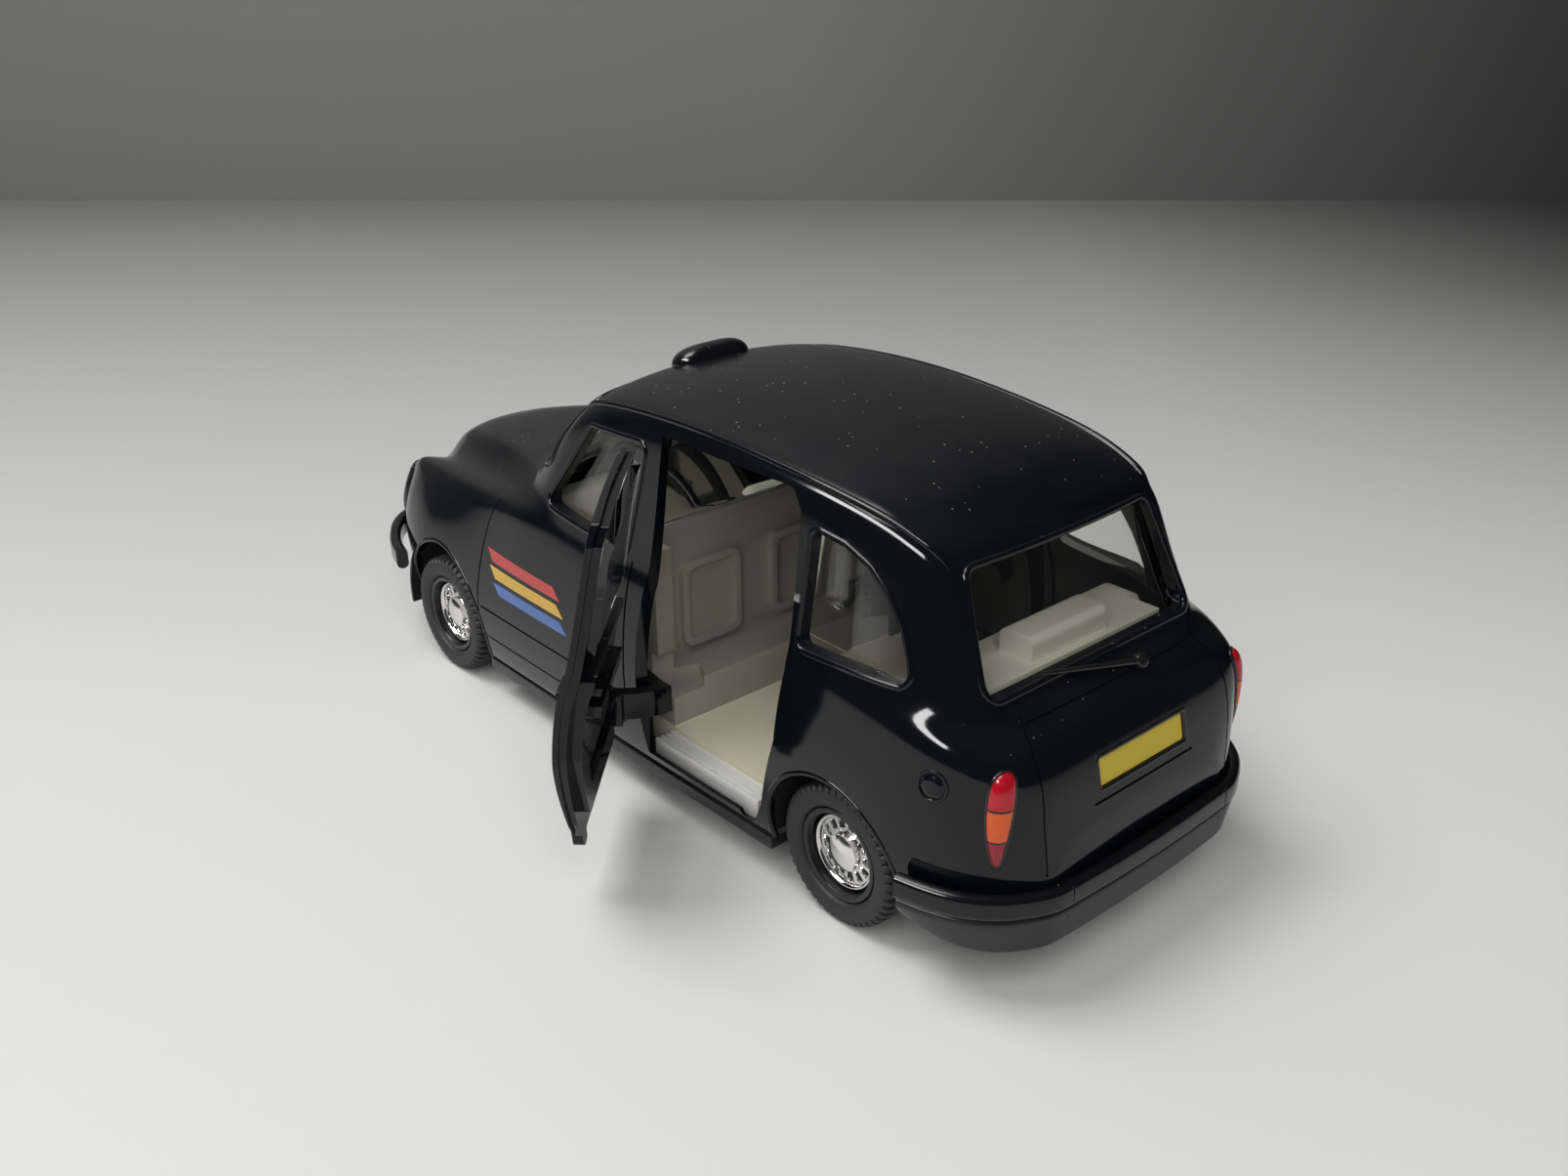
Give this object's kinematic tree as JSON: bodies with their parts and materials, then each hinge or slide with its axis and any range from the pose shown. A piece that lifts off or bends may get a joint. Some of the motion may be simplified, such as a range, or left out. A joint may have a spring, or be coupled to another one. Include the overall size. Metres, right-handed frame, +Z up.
{
  "type": "toy taxi cab",
  "caption": "Die-cast toy taxi cab in black with side-opening rear passenger doors, a fitted passenger cabin, clear glazing, a roof sign and wheels that roll on steel axles.",
  "frame": {"origin": "middle of the flat underside of the base plate, on the cab's centre plane; the ground is 4 mm below", "axes": "+X forward to the bonnet, +Y to the cab's left, +Z up"},
  "size_m": [0.1294, 0.0699, 0.0512],
  "materials": {
    "body_enamel": "gloss black enamel on a zinc casting",
    "base_black": "satin black moulding",
    "trim_black": "black moulding with a soft shine",
    "bright_trim": "bright plated moulding",
    "cabin_grey": "warm grey moulding",
    "threshold_grey": "pale grey ribbed moulding",
    "clear_glazing": "clear moulding",
    "steel_pin": "drawn steel",
    "tyre_black": "satin black tyre",
    "rim_black": "black moulded rim",
    "hub_chrome": "bright plated hub",
    "lamp_red": "red lamp with an orange band",
    "lamp_clear": "clear lamp over a bright reflector",
    "sign_black": "gloss black moulding",
    "sign_amber": "amber lens with no lettering",
    "plate_yellow": "bare yellow plate"
  },
  "bodies": {
    "cab": {"body_shell": "body_enamel", "base_plate": "base_black", "base_screws": "steel_pin", "front_bumper": "trim_black", "rear_bumper": "trim_black", "grille": "bright_trim", "cabin_tub": "cabin_grey", "rear_bench": "cabin_grey", "driver_seat": "cabin_grey", "dashboard": "cabin_grey", "steering_wheel": "trim_black", "left_threshold": "threshold_grey", "right_threshold": "threshold_grey", "front_glazing": "clear_glazing", "rear_glazing": "clear_glazing", "partition_screen": "clear_glazing", "left_hinge_pin": "steel_pin", "right_hinge_pin": "steel_pin", "left_tail_lamp": "lamp_red", "right_tail_lamp": "lamp_red", "left_headlamp": "lamp_clear", "right_headlamp": "lamp_clear", "roof_sign": "sign_black", "sign_lens": "sign_amber", "rear_plate": "plate_yellow", "rear_wiper": "trim_black"},
    "left_door_leaf": {"left_door": "body_enamel", "left_door_glass": "clear_glazing", "left_hinge_arm": "trim_black"},
    "right_door_leaf": {"right_door": "body_enamel", "right_door_glass": "clear_glazing", "right_hinge_arm": "trim_black"},
    "front_wheelset": {"front_axle": "steel_pin", "front_left_tyre": "tyre_black", "front_right_tyre": "tyre_black", "front_left_rim": "rim_black", "front_right_rim": "rim_black", "front_left_hub": "hub_chrome", "front_right_hub": "hub_chrome"},
    "rear_wheelset": {"rear_axle": "steel_pin", "rear_left_tyre": "tyre_black", "rear_right_tyre": "tyre_black", "rear_left_rim": "rim_black", "rear_right_rim": "rim_black", "rear_left_hub": "hub_chrome", "rear_right_hub": "hub_chrome"}
  },
  "joints": [
    {"name": "left_door_hinge", "type": "hinge", "parent": "cab", "child": "left_door_leaf", "pos_m": [-0.001, 0.0206, 0.0107], "axis": [0, 0, 1], "range_deg": [0, 45]},
    {"name": "right_door_hinge", "type": "hinge", "parent": "cab", "child": "right_door_leaf", "pos_m": [-0.001, -0.0206, 0.0107], "axis": [0, 0, 1], "range_deg": [0, 45]},
    {"name": "front_wheels_roll", "type": "hinge", "parent": "cab", "child": "front_wheelset", "pos_m": [0.0404, 0, 0.0044], "axis": [0, 1, 0], "continuous": true},
    {"name": "rear_wheels_roll", "type": "hinge", "parent": "cab", "child": "rear_wheelset", "pos_m": [-0.0398, 0, 0.0044], "axis": [0, 1, 0], "continuous": true}
  ]
}
